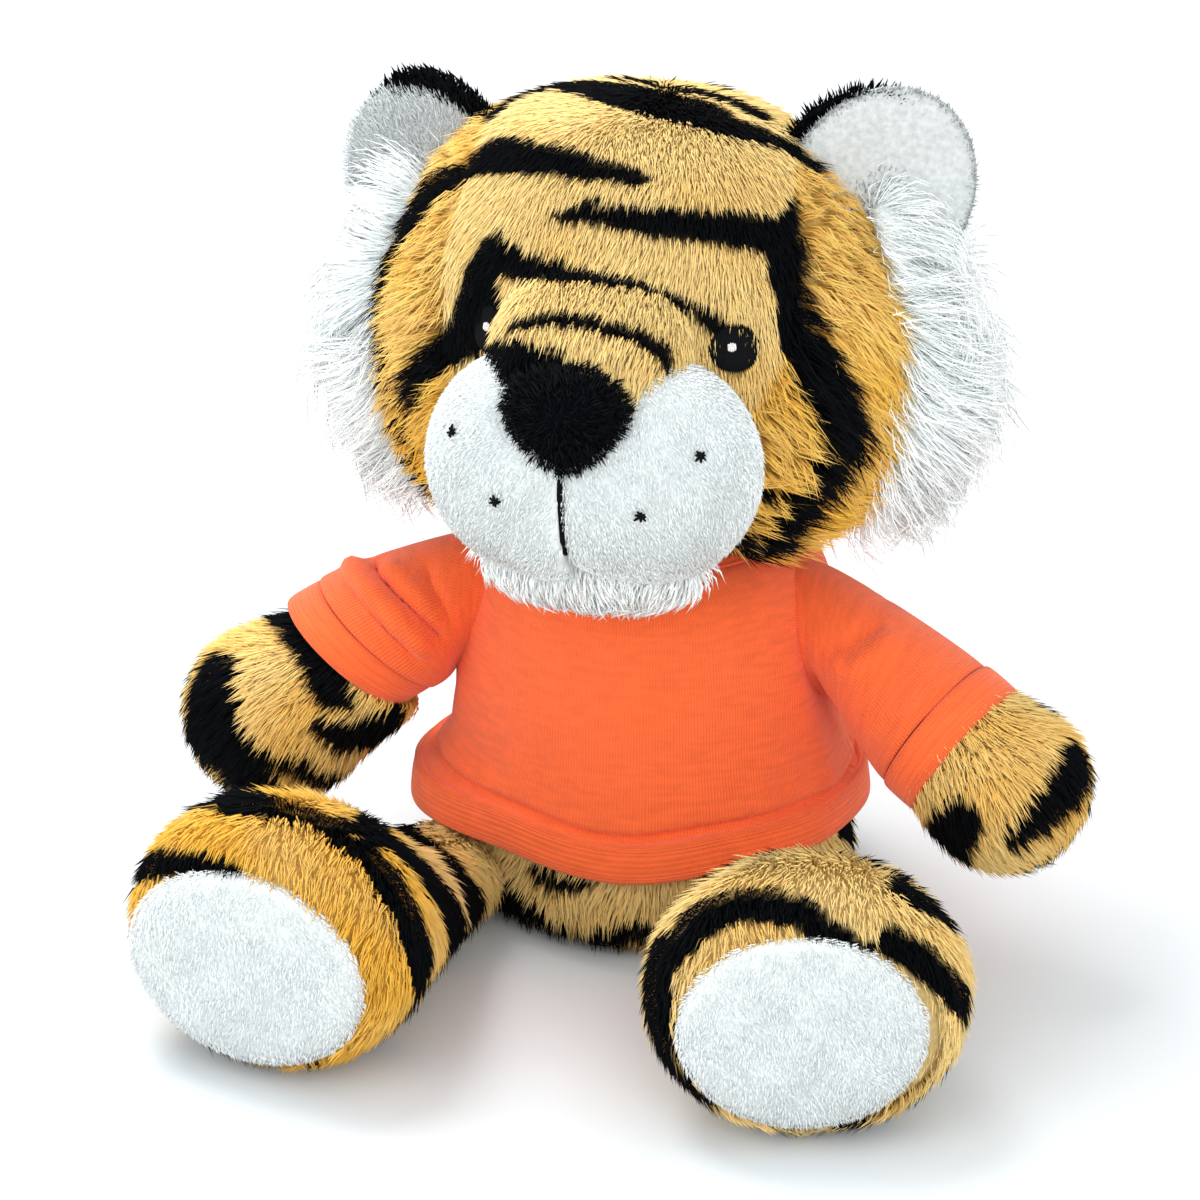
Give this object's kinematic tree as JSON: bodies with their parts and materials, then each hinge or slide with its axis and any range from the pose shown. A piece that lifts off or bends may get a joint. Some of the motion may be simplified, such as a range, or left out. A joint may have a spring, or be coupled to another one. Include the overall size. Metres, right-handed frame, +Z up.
{
  "type": "plush tiger",
  "caption": "Seated stuffed tiger with a wide round head, side ruffs, short tapered limbs and a curled tail, wearing a short-sleeved knitted shirt; head and limbs swing on sewn joints.",
  "frame": {"origin": "middle of the flat seat, on the surface that the toy sits on", "axes": "+Z up, the face looks along -Y, and +X is the tiger's own left"},
  "size_m": [0.1988, 0.192, 0.1821],
  "materials": {
    "orange_plush": "long polyester pile, golden orange printed with black stripes",
    "white_plush": "white polyester pile, short velour on muzzle, ears and soles, long on ruffs and chin",
    "black_plush": "short black polyester pile",
    "orange_knit": "matt fine-ribbed jersey knit",
    "black_thread": "embroidery thread, slightly shiny",
    "white_thread": "embroidery thread, slightly shiny",
    "fibre_filling": "loose polyester fibre",
    "bean_bag_cloth": "plain woven bag filled with pellets"
  },
  "bodies": {
    "torso": {"torso_front_panel": "orange_plush", "torso_back_panel": "orange_plush", "torso_base": "orange_plush", "torso_stuffing": "fibre_filling", "seat_bean_bag": "bean_bag_cloth", "shirt_front": "orange_knit", "shirt_back": "orange_knit", "shirt_hem_band": "orange_knit", "shirt_neck_band": "orange_knit"},
    "head": {"head_crown_panel": "orange_plush", "head_left_cheek_panel": "orange_plush", "head_right_cheek_panel": "orange_plush", "head_stuffing": "fibre_filling", "muzzle_left": "white_plush", "muzzle_right": "white_plush", "muzzle_bridge": "orange_plush", "nose": "black_plush", "mouth_stitch": "black_thread", "whisker_dot_left_upper": "black_thread", "whisker_dot_left_lower": "black_thread", "whisker_dot_right_upper": "black_thread", "whisker_dot_right_lower": "black_thread", "chin_tuft": "white_plush", "eye_left": "black_thread", "eye_right": "black_thread", "eye_highlight_left": "white_thread", "eye_highlight_right": "white_thread", "ear_left_front": "white_plush", "ear_left_back": "black_plush", "ear_right_front": "white_plush", "ear_right_back": "black_plush", "ruff_left": "white_plush", "ruff_right": "white_plush"},
    "arm_left": {"arm_left_cover": "orange_plush", "arm_left_stuffing": "fibre_filling", "sleeve_left": "orange_knit", "sleeve_left_cuff": "orange_knit"},
    "arm_right": {"arm_right_cover": "orange_plush", "arm_right_stuffing": "fibre_filling", "sleeve_right": "orange_knit", "sleeve_right_cuff": "orange_knit"},
    "leg_left": {"leg_left_cover": "orange_plush", "leg_left_stuffing": "fibre_filling", "leg_left_sole": "white_plush"},
    "leg_right": {"leg_right_cover": "orange_plush", "leg_right_stuffing": "fibre_filling", "leg_right_sole": "white_plush"},
    "tail": {"tail_cover": "orange_plush", "tail_stuffing": "fibre_filling"}
  },
  "joints": [
    {"name": "head_turn", "type": "hinge", "parent": "torso", "child": "head", "pos_m": [0, -0.004, 0.0877], "axis": [0, 0, 1], "range_deg": [-20, 20], "stiffness_Nm_per_rad": 0.04},
    {"name": "arm_left_lift", "type": "hinge", "parent": "torso", "child": "arm_left", "pos_m": [0.034, -0.007, 0.0695], "axis": [-0.3334, -0.9428, 0], "range_deg": [-12, 25], "stiffness_Nm_per_rad": 0.05, "springref_deg": 2.29, "deforming": ["sleeve_left"]},
    {"name": "arm_right_lift", "type": "hinge", "parent": "torso", "child": "arm_right", "pos_m": [-0.034, -0.007, 0.0695], "axis": [-0.3334, 0.9428, 0], "range_deg": [-12, 25], "stiffness_Nm_per_rad": 0.05, "springref_deg": 2.29, "deforming": ["sleeve_right"]},
    {"name": "leg_left_splay", "type": "hinge", "parent": "torso", "child": "leg_left", "pos_m": [0.035, -0.014, 0.01], "axis": [0, 0, 1], "range_deg": [-6, 12], "stiffness_Nm_per_rad": 0.04},
    {"name": "leg_right_splay", "type": "hinge", "parent": "torso", "child": "leg_right", "pos_m": [-0.035, -0.014, 0.01], "axis": [0, 0, -1], "range_deg": [-6, 12], "stiffness_Nm_per_rad": 0.04},
    {"name": "tail_swing", "type": "hinge", "parent": "torso", "child": "tail", "pos_m": [0, 0.034, 0.0085], "axis": [0, 0, 1], "range_deg": [-20, 20], "stiffness_Nm_per_rad": 0.01}
  ]
}
